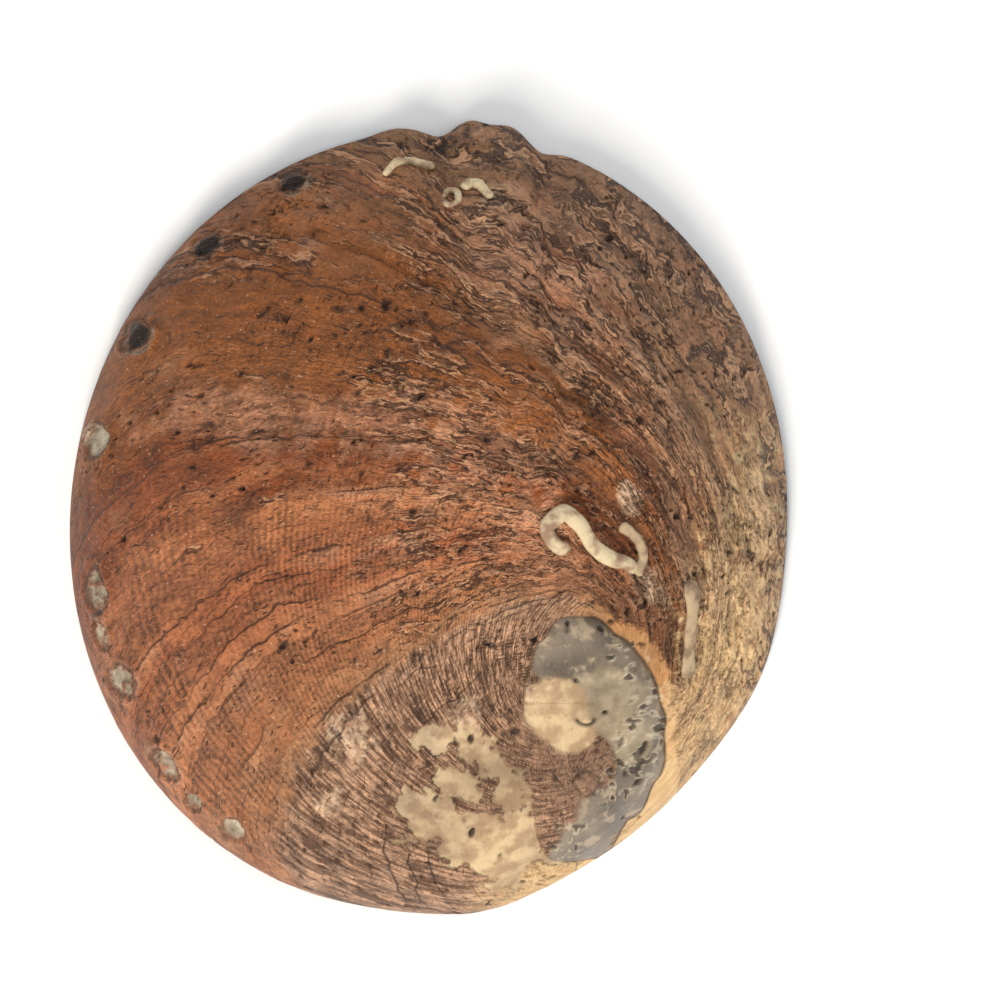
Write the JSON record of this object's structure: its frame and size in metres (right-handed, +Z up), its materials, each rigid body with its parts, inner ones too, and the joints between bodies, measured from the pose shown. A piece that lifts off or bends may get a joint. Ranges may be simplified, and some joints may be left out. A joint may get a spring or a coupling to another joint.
{
  "type": "abalone shell",
  "caption": "Large oval ear-shaped sea shell with a low coiled spire, a row of breathing pores and a hollow pearly underside, lying dome up on its rim",
  "frame": {"origin": "Bottom centre of the shell's bounding box, level with the rim that it rests on.", "axes": "+Z up through the dome. +Y points to the growing front edge, along the shell's length. +X points to the side away from the row of pores. Metres."},
  "size_m": [0.1542, 0.1702, 0.0506],
  "materials": {
    "shell": "rough, weathered"
  },
  "bodies": {
    "root": {"abalone_shell": "shell"}
  },
  "joints": []
}
